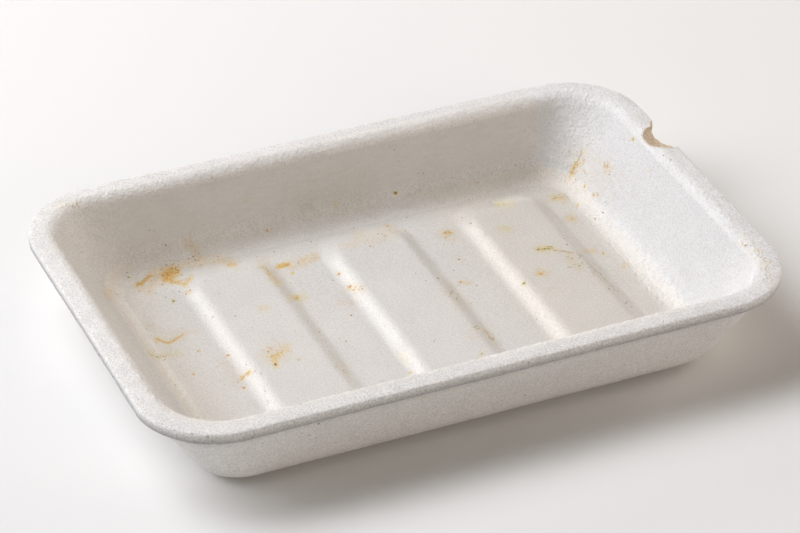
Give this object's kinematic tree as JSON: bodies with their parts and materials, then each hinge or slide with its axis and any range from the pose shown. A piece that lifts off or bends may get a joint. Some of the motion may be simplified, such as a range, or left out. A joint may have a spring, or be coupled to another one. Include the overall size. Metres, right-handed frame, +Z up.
{
  "type": "foam food tray",
  "caption": "Shallow oblong foam food tray, open on top, with sloping walls, a rounded turned-out rim, low flat-topped ribs across the floor and a bite torn out of the rim.",
  "frame": {"origin": "on the table, under the middle of the tray", "axes": "+X along the tray towards the end whose rim is torn, +Y across it, +Z up out of its open top"},
  "size_m": [0.21, 0.1424, 0.0298],
  "materials": {
    "foam": "matt warm-white foam with a fine grained skin, stained yellow-brown in places"
  },
  "bodies": {
    "root": {"tray": "foam"}
  },
  "joints": []
}
